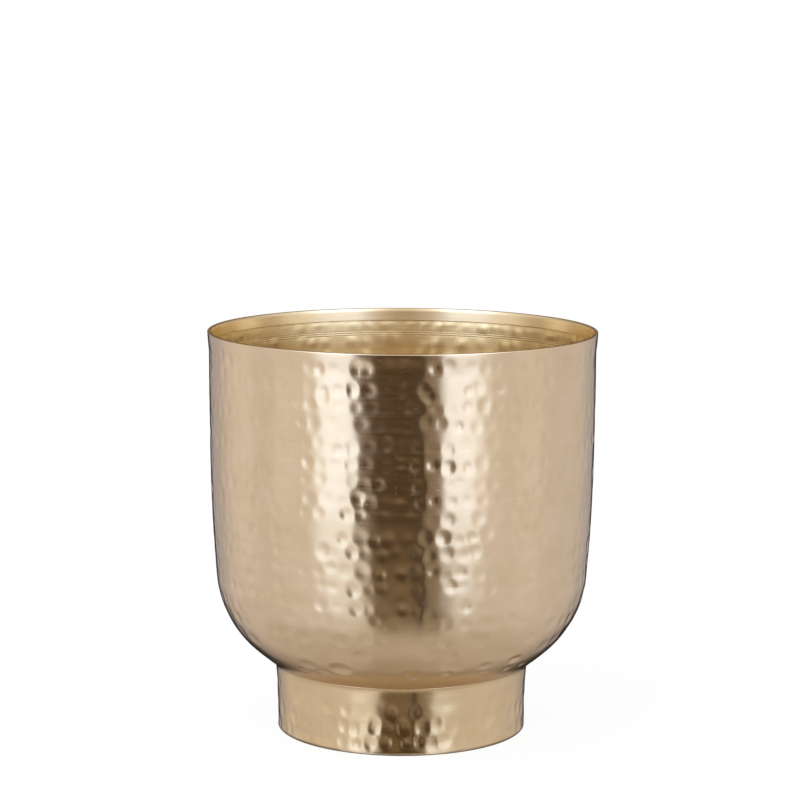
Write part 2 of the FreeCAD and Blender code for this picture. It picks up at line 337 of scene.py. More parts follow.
def inner_skin():
    """Section points of the bowl's inside, over the hem to the axis, and the number of the gap's ring.

    The first ring lies a little lower than the crest of the outside, so that the two rims bridge well.
    """
    corner = fold_corner(-1)
    start = away_from(corner, (corner[0] + FOLD_START[0], corner[1] + FOLD_START[1]), FOLD_EDGE)
    face = (corner[0] - FOLD_EDGE * math.cos(FLARE_LEAN), corner[1] + FOLD_EDGE * math.sin(FLARE_LEAN))
    hem_low = HEIGHT - HEM_DEPTH
    face_end = along_flare(face, face[1] - hem_low - HEM_EDGE_RADIUS)
    round_centre = (face_end[0] + HEM_EDGE_RADIUS, face_end[1])
    round_end = (round_centre[0], hem_low)
    wall_here = inner.flare[0] + FLARE_WIDTH * (hem_low - inner.flare[1]) / FLARE_HEIGHT
    gap_edge = (wall_here - HEM_GAP, hem_low)
    gap_top = (wall_here - HEM_GAP / 2, hem_low + HEM_GAP_DEPTH)
    points = [start]
    points += arc_points(corner, start, face, FOLD_INSIDE_STEP)
    points += line_points(face, along_flare(face_end, -HEM_EDGE_GUARD), HEM_STEP)
    points += [face_end]
    points += arc_points(round_centre, face_end, round_end, HEM_EDGE_STEP)
    below_gap = along_flare((wall_here, hem_low), HEM_GAP_GUARD)
    gap_ring = len(points)
    points += [gap_edge, gap_top, (wall_here, hem_low), below_gap]
    points += line_points(below_gap, inner.flare, UNDER_HEM_STEP)
    levels = [(HEIGHT - GROOVES[0] + GROOVE_HALF + GROOVE_GUARD, 0)]
    for depth in GROOVES:
        height = HEIGHT - depth
        levels += [(height + GROOVE_HALF, 0), (height, GROOVE_DEPTH), (height - GROOVE_HALF, 0)]
    levels += [(HEIGHT - GROOVES[-1] - GROOVE_HALF - GROOVE_GUARD, 0)]
    for level, cut in levels:
        on_wall = along_wall(inner.flare, inner.flare[1] - level)
        points.append((on_wall[0] + cut, level))
    last = points[-1]
    upper_end = along_wall(last, UPPER_INSIDE)
    points += line_points(last, upper_end, UPPER_INSIDE_STEP)
    points += line_points(upper_end, inner.wall, INSIDE_STEP)
    points += arc_points(inner.side_centre, inner.wall, inner.knuckle_top, INSIDE_STEP)
    points += arc_points(inner.knuckle_centre, inner.knuckle_top, inner.knuckle_foot, KNUCKLE_INSIDE_STEP)
    points += arc_points(inner.dish_centre, inner.knuckle_foot, inner.edge_top, DISH_INSIDE_STEP)
    points += arc_points(inner.edge_centre, inner.edge_top, inner.flat_end, FLAT_EDGE_STEP)
    points += line_points(inner.flat_end, (0, inner.flat_end[1]), FLAT_STEP)
    return points, gap_ring


def length_near(points, lengths, place):
    """Length along a section at its point nearest to a place."""
    return min(zip(points, lengths), key=lambda pair: math.dist(pair[0], place))[1]


def lengths_along(points):
    """Distance from the first point of a section to each of its points."""
    lengths = [0]
    for first, second in zip(points, points[1:]):
        lengths.append(lengths[-1] + math.dist(first, second))
    return lengths


def turn_skin(mesh, points, segments, first_ring, begin=0.0, turn=math.tau):
    """Turns a section about the axis. Each vertex keeps its ring's number and its length along."""
    ring = mesh.verts.layers.int.get("ring") or mesh.verts.layers.int.new("ring")
    along = mesh.verts.layers.float.get("along") or mesh.verts.layers.float.new("along")
    side = (math.sin(begin), -math.cos(begin))
    chain = [mesh.verts.new((radius * side[0], radius * side[1], height)) for radius, height in points]
    for number, (vertex, length) in enumerate(zip(chain, lengths_along(points))):
        vertex[ring] = first_ring + number
        vertex[along] = length
    edges = [mesh.edges.new(pair) for pair in zip(chain, chain[1:])]
    parts = 2 ** HALVINGS
    bmesh.ops.spin(
        mesh, geom=chain + edges, cent=(0, 0, 0), axis=(0, 0, 1),
        angle=turn / parts, steps=segments // parts,
    )
    last = first_ring + len(points)
    for halving in range(HALVINGS):
        own = [v for v in mesh.verts if first_ring <= v[ring] < last]
        sides = [e for e in mesh.edges if first_ring <= e.verts[0][ring] < last]
        faces = [f for f in mesh.faces if first_ring <= f.verts[0][ring] < last]
        copied = bmesh.ops.duplicate(mesh, geom=own + sides + faces)["geom"]
        turned = [item for item in copied if isinstance(item, bmesh.types.BMVert)]
        bmesh.ops.rotate(
            mesh, verts=turned, cent=(0, 0, 0),
            matrix=Matrix.Rotation(turn / parts * 2 ** halving, 3, "Z"),
        )
    own = [v for v in mesh.verts if first_ring <= v[ring] < last]
    bmesh.ops.remove_doubles(mesh, verts=own, dist=MERGE)


def angle_of(position):
    """Angle round the pot, from the camera's side towards +X."""
    return math.atan2(position.x, -position.y)


def hammer_marks(rng, rows, radius_at):
    """Marks as (angle, along, half width, half height, depth), row by row."""
    marks = []
    for row in rows:
        count = round(math.tau * radius_at(row["along"]) / row["pitch"])
        pitch = math.tau / count
        phase = rng.uniform(0, pitch)
        sway = rng.uniform(0, math.tau)
        for number in range(count):
            angle = phase + (number + rng.gauss(0, PLACE_STRAY)) * pitch
            drift = ROW_SWAY * math.sin(2 * angle + sway) + rng.gauss(0, ROW_STRAY) * row["pitch"]
            size = row["size"] * rng.uniform(*SIZE_SHARES)
            tall = size * row["tall"] * rng.uniform(*TALL_SHARES)
            depth = row["depth"] * (LEAST_DEPTH_SHARE + DEPTH_SPREAD_SHARE * rng.random() ** DEPTH_POWER)
            if rng.random() >= row["missing"]:
                marks.append((angle, row["along"] + drift, size / 2, tall / 2, depth))
    return marks


def mark_depths(marks, lengths, radii, segments, spread, share, begin=0.0, turn=math.tau):
    """Depth of the hammer marks at each vertex of each ring, as a table of rings by segments.

    A spread widens the marks, or narrows them when it is below 0, and leaves out their rim, as they look
    from the sheet's other side.
    """
    table = np.zeros((len(lengths), segments))
    angles = begin + np.arange(segments) * turn / segments
    for angle, middle, half_width, half_height, depth in marks:
        reach = half_height + spread
        low, high = np.searchsorted(lengths, (middle - reach, middle + reach))
        across = np.remainder(angles - angle + math.pi, math.tau) - math.pi
        near = np.nonzero(np.abs(across) * max(radii[low:high], default=0) < 2 * (half_width + spread))[0]
        for ring in range(low, high):
            up = (lengths[ring] - middle) / reach
            off = (across[near] * radii[ring] / (half_width + spread)) ** 2 + up ** 2
            hollow = np.clip(1 - off, 0, 1)
            form = hollow ** SOFT_POWER if spread else hollow * (1 - np.exp(-RIM_SHARPNESS * hollow))
            table[ring, near] = np.maximum(table[ring, near], share * depth * form)
    return table


def press_marks(mesh, table, first_ring, segments, begin, turn, direction, swell, wave):
    """Moves the vertices of the marked rings along their normals, with a slow swell added."""
    ring = mesh.verts.layers.int["ring"]
    mesh.normal_update()
    moves = []
    for vertex in mesh.verts:
        row = vertex[ring] - first_ring
        if not 0 <= row < len(table):
            continue
        angle = angle_of(vertex.co)
        column = round((angle - begin) % math.tau / turn * segments) % segments
        waves = SWELL_LIFT + noise.noise(vertex.co / wave)
        waves += FINE_WAVE_SHARE * noise.noise(vertex.co / wave * FINE_WAVES)
        depth = table[row][column] + swell[row] * max(0.0, waves)
        if depth > 0:
            moves.append((vertex, vertex.normal * depth * direction))
    for vertex, move in moves:
        vertex.co += move


def finish_mesh(mesh, name, materials):
    """Smooth object of a bmesh, with its materials, on the part's one body."""
    for face in mesh.faces:
        face.smooth = True
    data = bpy.data.meshes.new(name)
    mesh.to_mesh(data)
    mesh.free()
    for material in materials:
        data.materials.append(material)
    piece = bpy.data.objects.new(name, data)
    bpy.context.scene.collection.objects.link(piece)
    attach(piece, "root")
    return piece


def smooth_share(low, high, value):
    """0 below low, 1 above high, smooth between."""
    share = min(1.0, max(0.0, (value - low) / (high - low)))
    return share * share * (3 - 2 * share)


def placed_rows(rows, place):
    """Rows of marks that are given from a place along the section."""
    return [{**row, "along": place + row["along"]} for row in rows]


def wall_rows(rng, dish_length):
    """Rows of marks down the bowl's wall, up to the knuckle."""
    rows = []
    length = FIRST_ROW
    while length < dish_length - WALL_ROWS_END:
        low = smooth_share(*LOW_MARKS, length)
        rows.append({
            "along": length,
            "pitch": MARK_PITCH * (1 + LOW_PITCH_GAIN * low),
            "size": MARK_SIZE + LOW_SIZE_GAIN * low,
            "tall": MARK_TALL - LOW_TALL_LOSS * low,
            "depth": MARK_DEPTH * (1 + LOW_DEPTH_GAIN * low),
            "missing": MARK_MISSING + LOW_MISSING_GAIN * low,
        })
        length += ROW_PITCH * rng.uniform(*ROW_PITCH_SHARES)
    return rows


def depths_below_mouth(inside):
    """Depth of each inner ring below the mouth. From the knuckle on it counts along the section."""
    lengths = lengths_along(inside)
    first = next(i for i, p in enumerate(inside) if p[1] <= inner.knuckle_top[1])
    wall = [HEIGHT - p[1] for p in inside[:first]]
    return wall + [wall[-1] + length - lengths[first - 1] for length in lengths[first:]]


def hammer_outside(mesh, outside, marks, lengths, seam_length):
    """Presses the marks into the bowl's outside, and gives the sheet its swell above the joint."""
    table = mark_depths(marks, lengths, [p[0] for p in outside], OUTER_SEGMENTS, 0, 1.0)
    swell = []
    for length in lengths:
        begun = smooth_share(*BOWL_SWELL_START, length)
        ended = smooth_share(seam_length - BOWL_SWELL_END[0], seam_length - BOWL_SWELL_END[1], length)
        swell.append(BOWL_SWELL * begun * (1 - ended))
    press_marks(mesh, table, 0, OUTER_SEGMENTS, 0, math.tau, -1, swell, BOWL_WAVE)


def raise_bumps(mesh, inside, bumps, depths, gap_ring, first_ring):
    """Raises the backs of the marks inside, under the hem."""
    table = mark_depths(bumps, depths, [p[0] for p in inside], INNER_SEGMENTS, SOFT_SPREAD, SOFT_GAIN)
    gap_top = gap_ring + 1
    fade = [0 if i <= gap_top else smooth_share(*BUMPS_START, depth) for i, depth in enumerate(depths)]
    table *= np.array(fade)[:, None]
    swell = [INSIDE_SWELL * share for share in fade]
    press_marks(mesh, table, first_ring, INNER_SEGMENTS, 0, math.tau, 1, swell, BOWL_WAVE)


def tint_outside(vertex, layers, length, seam_length):
    """Painted shade of an outer vertex, by its distance from the joint: a warm band beside the joint and
    a dark line on it.
    """
    along, painted_warm_shade, painted_shade = layers
    off = abs(seam_length - length)
    vertex[along] = length
    # Painted shade: a dark line at the joint
    vertex[painted_shade] = JOINT_PAINTED_SHADE * (1 - smooth_share(0, JOINT_PAINTED_SHADE_WIDTH, off))
    # Painted shade: a warm band beside the joint
    vertex[painted_warm_shade] = 1 - smooth_share(*JOINT_WARM_SHADE_SPAN, off)


def tint_inside(vertex, layers, depth, height):
    """Painted shade of an inner vertex, by its place below the mouth: golden deeper inside, dark at the
    hem's edge and in the grooves.
    """
    along, painted_warm_shade, painted_shade = layers
    below = HEIGHT - height
    deep = smooth_share(*INSIDE_SHADE_FADE_START, below)
    off_hem = abs(height - (HEIGHT - HEM_DEPTH))
    vertex[along] = depth
    # Painted shade: golden, deeper inside
    vertex[painted_warm_shade] = smooth_share(*INSIDE_WARM_SHADE_START, below) * (INSIDE_WARM_SHADE - INSIDE_SHADE_FADE * deep)
    # Painted shade: a dark line at the hem's edge
    vertex[painted_shade] = HEM_PAINTED_SHADE * (1 - smooth_share(*HEM_PAINTED_SHADE_WIDTHS, off_hem))
    # Painted shade: dark in the grooves
    if any(abs(HEIGHT - groove - height) < GROOVE_NEAR for groove in GROOVES):
        vertex[painted_shade] = GROOVE_PAINTED_SHADE


def make_bowl(materials):
    """Bowl of one sheet: hammered outside, soft bumps inside, the hem folded in at its mouth."""
    rng = random.Random(BOWL_SEED)
    outside = outer_skin()
    inside, gap_ring = inner_skin()
    first_inside = len(outside)
    mesh = bmesh.new()
    turn_skin(mesh, outside, OUTER_SEGMENTS, 0)
    turn_skin(mesh, inside, INNER_SEGMENTS, first_inside)
    on_axis = [v for v in mesh.verts if math.hypot(v.co.x, v.co.y) < AXIS_MERGE]
    bmesh.ops.remove_doubles(mesh, verts=on_axis, dist=AXIS_MERGE)
    rims = [e for e in mesh.edges if e.is_boundary]
    bmesh.ops.bridge_loops(mesh, edges=rims)
    bmesh.ops.recalc_face_normals(mesh, faces=mesh.faces)

    outer_lengths = lengths_along(outside)
    seam_length = length_near(outside, outer_lengths, outer.on_dish(FOOT_RADIUS + FOOT_SPREAD))
    dish_length = length_near(outside, outer_lengths, outer.knuckle_foot)
    rows = wall_rows(rng, dish_length) + placed_rows(KNUCKLE_ROWS, dish_length)
    radii = [p[0] for p in outside]
    marks = hammer_marks(rng, rows, lambda length: float(np.interp(length, outer_lengths, radii)))
    hammer_outside(mesh, outside, marks, outer_lengths, seam_length)
    bumps = [
        (*mark[:4], SOFT_DEPTH * rng.uniform(*SOFT_SHARES))
        for mark in marks if rng.random() < SOFT_KEPT_SHARE
    ]
    depths = depths_below_mouth(inside)
    raise_bumps(mesh, inside, bumps, depths, gap_ring, first_inside)

    ring = mesh.verts.layers.int["ring"]
    # Two vertex layers of painted shade, a warm one and a dark one
    # A new layer moves the older ones, so they are all fetched after the last is made
    for name in ("painted_shade", "painted_warm_shade"):
        mesh.verts.layers.float.new(name)
    layers = [mesh.verts.layers.float[name] for name in ("along", "painted_warm_shade", "painted_shade")]
    for vertex in mesh.verts:
        number = vertex[ring]
        if number < first_inside:
            tint_outside(vertex, layers, outer_lengths[number], seam_length)
        else:
            number -= first_inside
            tint_inside(vertex, layers, depths[number], inside[number][1])
    for face in mesh.faces:
        lowest = min(v[ring] for v in face.verts)
        if lowest >= first_inside:
            face.material_index = 2 if lowest < first_inside + gap_ring else 1
    piece = finish_mesh(mesh, "hammered_bowl", materials)
    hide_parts("bowl")


def foot_section():
    """Closed section of the foot's strip, from the seam under the bowl round to it again."""
    flare_top = FOOT_RADIUS + FOOT_SPREAD
    inside = FOOT_RADIUS - FOOT_SHEET
    top_in = outer.on_dish(inside + FOOT_SPREAD)
    seam = outer.on_dish(flare_top + COVE_WIDTH)
    cove_foot = (flare_top - COVE_LEAN, outer.on_dish(flare_top)[1] - COVE_HEIGHT)
    corner = (flare_top + COVE_CORNER[0], seam[1] - COVE_CORNER[1])
    points = [outer.on_dish(seam[0] - SEAM_LAP), seam]
    for share in COVE_SHARES:
        points.append(tuple(
            (1 - share) ** 2 * a + 2 * share * (1 - share) * b + share ** 2 * c
            for a, b, c in zip(seam, corner, cove_foot)
        ))
    rise = cove_foot[1] - FOOT_EDGE
    for radius, height in line_points((FOOT_RADIUS, cove_foot[1]), (FOOT_RADIUS, FOOT_EDGE), FOOT_STEP):
        lift = max(0.0, (height - FOOT_EDGE) / rise)
        points.append((radius + (cove_foot[0] - FOOT_RADIUS) * lift ** SPREAD_POWER, height))
    floor_out = (FOOT_RADIUS - FOOT_EDGE, 0)
    floor_in = (inside + FOOT_EDGE, 0)
    points += arc_points((floor_out[0], FOOT_EDGE), points[-1], floor_out, FOOT_EDGE_STEP)
    points += [floor_in]
    points += arc_points((floor_in[0], FOOT_EDGE), floor_in, (inside, FOOT_EDGE), FOOT_INSIDE_EDGE_STEP)
    points += line_points((inside, FOOT_EDGE), top_in, FOOT_INSIDE_STEP)
    return points


def make_foot(materials):
    """Hammered strip rolled to a ring, open at the back by the width of its seam."""
    rng = random.Random(FOOT_SEED)
    section = foot_section()
    points = section + [section[0]]
    half_gap = SEAM_GAP / 2 / FOOT_RADIUS
    begin, turn = math.pi + half_gap, math.tau - 2 * half_gap
    mesh = bmesh.new()
    turn_skin(mesh, points, FOOT_SEGMENTS, 0, begin, turn)
    bmesh.ops.remove_doubles(mesh, verts=mesh.verts, dist=SECTION_MERGE)
    ends = [e for e in mesh.edges if e.is_boundary]
    bmesh.ops.holes_fill(mesh, edges=ends, sides=0)
    bmesh.ops.recalc_face_normals(mesh, faces=mesh.faces)

    lengths = lengths_along(points)
    edge_length = next(s for s, p in zip(lengths, points) if p[1] <= FOOT_EDGE)
    marks = hammer_marks(rng, placed_rows(FOOT_ROWS, edge_length), lambda length: FOOT_RADIUS)
    table = mark_depths(marks, lengths, [p[0] for p in points], FOOT_SEGMENTS, 0, 1.0, begin, turn)
    swell = []
    for ring, length in enumerate(lengths):
        in_front = length <= edge_length
        table[ring] *= smooth_share(*FOOT_MARKS_START, length) if in_front else 0
        swell.append(FOOT_SWELL * smooth_share(*FOOT_SWELL_START, length) if in_front else 0)
    press_marks(mesh, table, 0, FOOT_SEGMENTS, begin, turn, -1, swell, FOOT_WAVE)

    # Painted contact shadow along the foot's bottom edge
    painted_shade = mesh.verts.layers.float.new("painted_shade")
    for vertex in mesh.verts:
        vertex[painted_shade] = 1 - smooth_share(*FOOT_PAINTED_SHADOW_HEIGHTS, vertex.co.z)
    piece = finish_mesh(mesh, "hammered_foot", materials)
    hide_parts("foot_ring")


def new_group(name, inputs, output):
    """Node group with number inputs and one number output, and its two end nodes."""
    group = bpy.data.node_groups.new(name, "ShaderNodeTree")
    for label in inputs:
        group.interface.new_socket(name=label, in_out="INPUT", socket_type="NodeSocketFloat")
    group.interface.new_socket(name=output, in_out="OUTPUT", socket_type="NodeSocketFloat")
    return group, group.nodes.new("NodeGroupInput"), group.nodes.new("NodeGroupOutput")


def sum_node(tree, operation, *values):
    """Result of a sum on one or two values, each a socket or a number."""
    node = tree.nodes.new("ShaderNodeMath")
    node.operation = operation
    for value, place in zip(values, node.inputs):
        if isinstance(value, bpy.types.NodeSocket):
            tree.links.new(value, place)
        else:
            place.default_value = value
    return node.outputs[0]


def lathe_lines_group():
    """Fine lines left round the pot by turning and brushing: Height, 0 to 1."""
    group, given, result = new_group("lathe_lines", ("Lines", "Breaks"), "Height")
    place = group.nodes.new("ShaderNodeTexCoord")
    apart = group.nodes.new("ShaderNodeSeparateXYZ")
    along = group.nodes.new("ShaderNodeAttribute")
    along.attribute_name = "along"
    group.links.new(place.outputs["Object"], apart.inputs[0])
    joined = group.nodes.new("ShaderNodeCombineXYZ")
    for axis in ("X", "Y"):
        scaled = sum_node(group, "MULTIPLY", apart.outputs[axis], given.outputs["Breaks"])
        group.links.new(scaled, joined.inputs[axis])
    scaled = sum_node(group, "MULTIPLY", along.outputs["Fac"], given.outputs["Lines"])
    group.links.new(scaled, joined.inputs["Z"])
    grain = group.nodes.new("ShaderNodeTexNoise")
    grain.inputs["Scale"].default_value = 1.0
    grain.inputs["Detail"].default_value = 3.0
    grain.inputs["Roughness"].default_value = 0.65
    group.links.new(joined.outputs[0], grain.inputs["Vector"])
    group.links.new(grain.outputs["Fac"], result.inputs["Height"])
    return group


def specks_group():
    """Tiny specks of dust, scattered and of uneven strength: Mask, up to 1 on a speck."""
    group, given, result = new_group("specks", ("Cells", "Size", "Share"), "Mask")
    place = group.nodes.new("ShaderNodeTexCoord")
    cells = group.nodes.new("ShaderNodeTexVoronoi")
    group.links.new(place.outputs["Object"], cells.inputs["Vector"])
    group.links.new(given.outputs["Cells"], cells.inputs["Scale"])
    apart = group.nodes.new("ShaderNodeSeparateColor")
    group.links.new(cells.outputs["Color"], apart.inputs[0])
    near = sum_node(group, "LESS_THAN", cells.outputs["Distance"], given.outputs["Size"])
    chosen = sum_node(group, "LESS_THAN", apart.outputs["Red"], given.outputs["Share"])
    speck = sum_node(group, "MULTIPLY", near, chosen)
    strength = sum_node(group, "POWER", apart.outputs["Green"], SPECK_POWER)
    group.links.new(sum_node(group, "MULTIPLY", speck, strength), result.inputs["Mask"])
    return group


def mottle_group():
    """Slow patches of slightly different tone: Factor, about 0 to 1."""
    group, given, result = new_group("mottle", ("Scale",), "Factor")
    place = group.nodes.new("ShaderNodeTexCoord")
    patches = group.nodes.new("ShaderNodeTexNoise")
    patches.inputs["Detail"].default_value = 4.0
    group.links.new(place.outputs["Object"], patches.inputs["Vector"])
    group.links.new(given.outputs["Scale"], patches.inputs["Scale"])
    group.links.new(patches.outputs["Fac"], result.inputs["Factor"])
    return group


LATHE_LINES = lathe_lines_group()
SPECKS = specks_group()
MOTTLE = mottle_group()


def group_node(material, group, **values):
    """Node of a group in a material, with its own values."""
    node = material.node_tree.nodes.new("ShaderNodeGroup")
    node.node_tree = group
    for name, value in values.items():
        node.inputs[name].default_value = value
    return node


def tone_ramp(nodes, tones, low, high):
    """Ramp between two tones."""
    ramp = nodes.new("ShaderNodeValToRGB")
    for stop, position, tone in zip(ramp.color_ramp.elements, (low, high), tones):
        stop.position = position
        stop.color = (*tone, 1)
    return ramp


def layer_over(material, below, colour, mask):
    """A colour laid over another where a mask says."""
    layer = material.node_tree.nodes.new("ShaderNodeMix")
    layer.data_type = "RGBA"
    layer.inputs["B"].default_value = (*colour, 1)
    material.node_tree.links.new(mask, layer.inputs["Factor"])
    material.node_tree.links.new(below, layer.inputs["A"])
    return layer.outputs["Result"]


def brass(name, tones, shade_tone, roughness, line_share, line_depth, anisotropy, patch_scale):
    """Satin brass with turned lines, patches, a warm painted shade and a dark painted shade where the
    mesh says so, and dust.
    """
    material = bpy.data.materials.new(name)
    material.use_nodes = True
    nodes, links = material.node_tree.nodes, material.node_tree.links
    shader = nodes["Principled BSDF"]
    shader.inputs["Anisotropic"].default_value = anisotropy
    shader.inputs["Anisotropic Rotation"].default_value = LINES_TURN

    patches = group_node(material, MOTTLE, Scale=patch_scale)
    grain = group_node(material, LATHE_LINES, Lines=2300.0, Breaks=22.0)
    dust = group_node(material, SPECKS, Cells=620.0, Size=0.08, Share=0.3)
    both = nodes.new("ShaderNodeMix")
    both.inputs["Factor"].default_value = line_share
    links.new(patches.outputs["Factor"], both.inputs["A"])
    links.new(grain.outputs["Height"], both.inputs["B"])
    tone = tone_ramp(nodes, tones, *NOISE_SPAN)
    links.new(both.outputs["Result"], tone.inputs[0])
    colour = tone.outputs["Color"]
    # Painted shade from the vertex layers: a warm tone and a dark one
    for attribute, cover in (("painted_warm_shade", shade_tone), ("painted_shade", PAINTED_SHADE_TONE)):
        amount = nodes.new("ShaderNodeAttribute")
        amount.attribute_name = attribute
        colour = layer_over(material, colour, cover, amount.outputs["Fac"])
    colour = layer_over(material, colour, DUST, dust.outputs["Mask"])
    links.new(colour, shader.inputs["Base Color"])
    bare = sum_node(material.node_tree, "SUBTRACT", 1.0, dust.outputs["Mask"])
    links.new(bare, shader.inputs["Metallic"])

    span = nodes.new("ShaderNodeMapRange")
    for label, value in zip(("From Min", "From Max", "To Min", "To Max"), (*NOISE_SPAN, *roughness)):
        span.inputs[label].default_value = value
    links.new(grain.outputs["Height"], span.inputs["Value"])
    matt = nodes.new("ShaderNodeMix")
    matt.inputs["B"].default_value = DUST_ROUGHNESS
    links.new(dust.outputs["Mask"], matt.inputs["Factor"])
    links.new(span.outputs["Result"], matt.inputs["A"])
    links.new(matt.outputs["Result"], shader.inputs["Roughness"])

    bump = nodes.new("ShaderNodeBump")
    bump.inputs["Distance"].default_value = line_depth
    links.new(grain.outputs["Height"], bump.inputs["Height"])
    links.new(bump.outputs["Normal"], shader.inputs["Normal"])
    return material


def braze_metal(name, tones, roughness):
    """Run braze: a duller, yellower metal with a lumpy skin."""
    material = bpy.data.materials.new(name)
    material.use_nodes = True
    nodes, links = material.node_tree.nodes, material.node_tree.links
    shader = nodes["Principled BSDF"]
    shader.inputs["Metallic"].default_value = 1.0
    patches = group_node(material, MOTTLE, Scale=420.0)
    tone = tone_ramp(nodes, tones, *BRAZE_SPAN)
    links.new(patches.outputs["Factor"], tone.inputs[0])
    links.new(tone.outputs["Color"], shader.inputs["Base Color"])
    span = nodes.new("ShaderNodeMapRange")
    span.inputs["To Min"].default_value = roughness[0]
    span.inputs["To Max"].default_value = roughness[1]
    links.new(patches.outputs["Factor"], span.inputs["Value"])
    links.new(span.outputs["Result"], shader.inputs["Roughness"])
    bump = nodes.new("ShaderNodeBump")
    bump.inputs["Distance"].default_value = BRAZE_LUMPS
    links.new(patches.outputs["Factor"], bump.inputs["Height"])
    links.new(bump.outputs["Normal"], shader.inputs["Normal"])
    return material


outside_brass = brass(
    "bowl_outside_brass", BRASS_TONES, JOINT_WARM_SHADE_TONE, roughness=(0.145, 0.195), line_share=0.32,
    line_depth=FINE_LINES, anisotropy=0.6, patch_scale=55.0,
)
hem_brass = brass(
    "hem_brass", HEM_TONES, HEM_TONES[0], roughness=(0.18, 0.25), line_share=0.5,
    line_depth=FINE_LINES, anisotropy=0.6, patch_scale=55.0,
)
inside_brass = brass(
    "bowl_inside_brass", INSIDE_TONES, INSIDE_WARM_SHADE_TONE, roughness=(0.3, 0.42), line_share=0.6,
    line_depth=COARSE_LINES, anisotropy=0.75, patch_scale=90.0,
)
foot_brass = brass(
    "foot_brass", FOOT_TONES, JOINT_WARM_SHADE_TONE, roughness=(0.145, 0.2), line_share=0.4,
    line_depth=FINE_LINES, anisotropy=0.5, patch_scale=70.0,
)
braze = braze_metal("run_braze", BRAZE_TONES, roughness=(0.3, 0.5))

make_bowl([outside_brass, inside_brass, hem_brass])
make_foot([foot_brass])
for node in ("foot_seam_solder", "foot_braze_bead"):
    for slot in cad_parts[node].material_slots:
        slot.material = braze

# Camera, as the photograph was taken
CAMERA_PLACE = (0, -1.4156, 0.3878)
YAW, PITCH, ROLL = math.radians(0.0536), 0.1465, math.radians(0.257)

camera_data = bpy.data.cameras.new("camera")
camera_data.sensor_width = 36.0
camera_data.lens = 119.28
camera_data.clip_end = 100.0
camera = bpy.data.objects.new("camera", camera_data)
camera.matrix_world = (
    Matrix.Translation(CAMERA_PLACE)
    @ Matrix.Rotation(YAW, 4, "Z")
    @ Matrix.Rotation(math.pi / 2 - PITCH, 4, "X")
    @ Matrix.Rotation(ROLL, 4, "Z")
)
bpy.context.scene.collection.objects.link(camera)
bpy.context.scene.camera = camera

# Studio: a floor, the white world, a soft lamp, and a tent of panels that only the metal mirrors
TENT_RADIUS = 6.0
TENT_SEGMENTS = 96
FLOOR_HALF = 30.0
FLOOR_GLOW_SHARE = 0.93
LAMP_PLACE = (-0.9, -0.9, 1.8)
LAMP_AIM = (0, 0, 0.1)
LAMP_SIZE = 1.2
LAMP_POWER = 12.0

FLAG = (0.048, 0.021, 0.002)
FLAG_LOW = (0.205, 0.145, 0.09)
DARK_LINE = (0.004, 0.002, 0.001)
DARK_LINE_LOW = (0.02, 0.012, 0.006)
SECOND_BAND = (0.235, 0.17, 0.11)
DARK_BACK = (0.015, 0.012, 0.01)
STRIP_LEFT = (1.24, 1.34, 1.59)
STRIP_RIGHT = (1.19, 1.27, 1.5)
STRIP_LOW_LEFT = (0.84, 0.8, 0.82)
STRIP_LOW_RIGHT = (0.71, 0.68, 0.69)
STRIP_HIGH = (2.15, 2.35, 2.85)
STRIP_HIGH_EDGE = (2.1, 2.3, 2.77)
HIGH_CENTRE = (0.94, 0.85, 0.73)
HIGH_BACK = (0.22, 0.165, 0.11)
HIGH_SIDE_BACK = (0.32, 0.24, 0.155)
HIGH_SIDE = (0.54, 0.46, 0.36)
GROUND = (0.54, 0.47, 0.41)
GROUND_SIDE_BACK = (0.32, 0.24, 0.17)
GROUND_BACK = (0.3, 0.22, 0.15)
UNDER = (0.44, 0.36, 0.29)
TOP = (0.62, 0.6, 0.57)

# The tent's rows of panels, each a list of (degrees round, colour)
MAIN_PANELS = [
    (-180, DARK_BACK), (-161, DARK_BACK), (-158, (0.4, 0.37, 0.4)), (-140, (0.5, 0.46, 0.46)),
    (-122, (0.72, 0.66, 0.64)), (-106, (0.8, 0.74, 0.72)), (-90, (0.7, 0.64, 0.61)),
    (-74, (0.8, 0.735, 0.71)), (-58, (0.74, 0.675, 0.64)), (-52, (0.93, 0.9, 0.91)),
    (-47, STRIP_LEFT), (-29, STRIP_LEFT), (-26, (0.16, 0.12, 0.08)), (-20, (0.12, 0.08, 0.045)),
    (-15, FLAG), (9.5, FLAG), (10.5, DARK_LINE), (12, DARK_LINE), (13, SECOND_BAND), (22, SECOND_BAND),
    (25, STRIP_RIGHT), (41, STRIP_RIGHT), (47, (0.95, 0.93, 0.96)), (54, (0.75, 0.68, 0.655)),
    (66, (0.71, 0.645, 0.62)), (80, (0.8, 0.735, 0.72)), (97, (0.69, 0.635, 0.63)),
    (128, (0.67, 0.62, 0.61)), (145, (0.5, 0.46, 0.47)), (158, (0.4, 0.37, 0.4)),
    (161, DARK_BACK), (180, DARK_BACK),
]
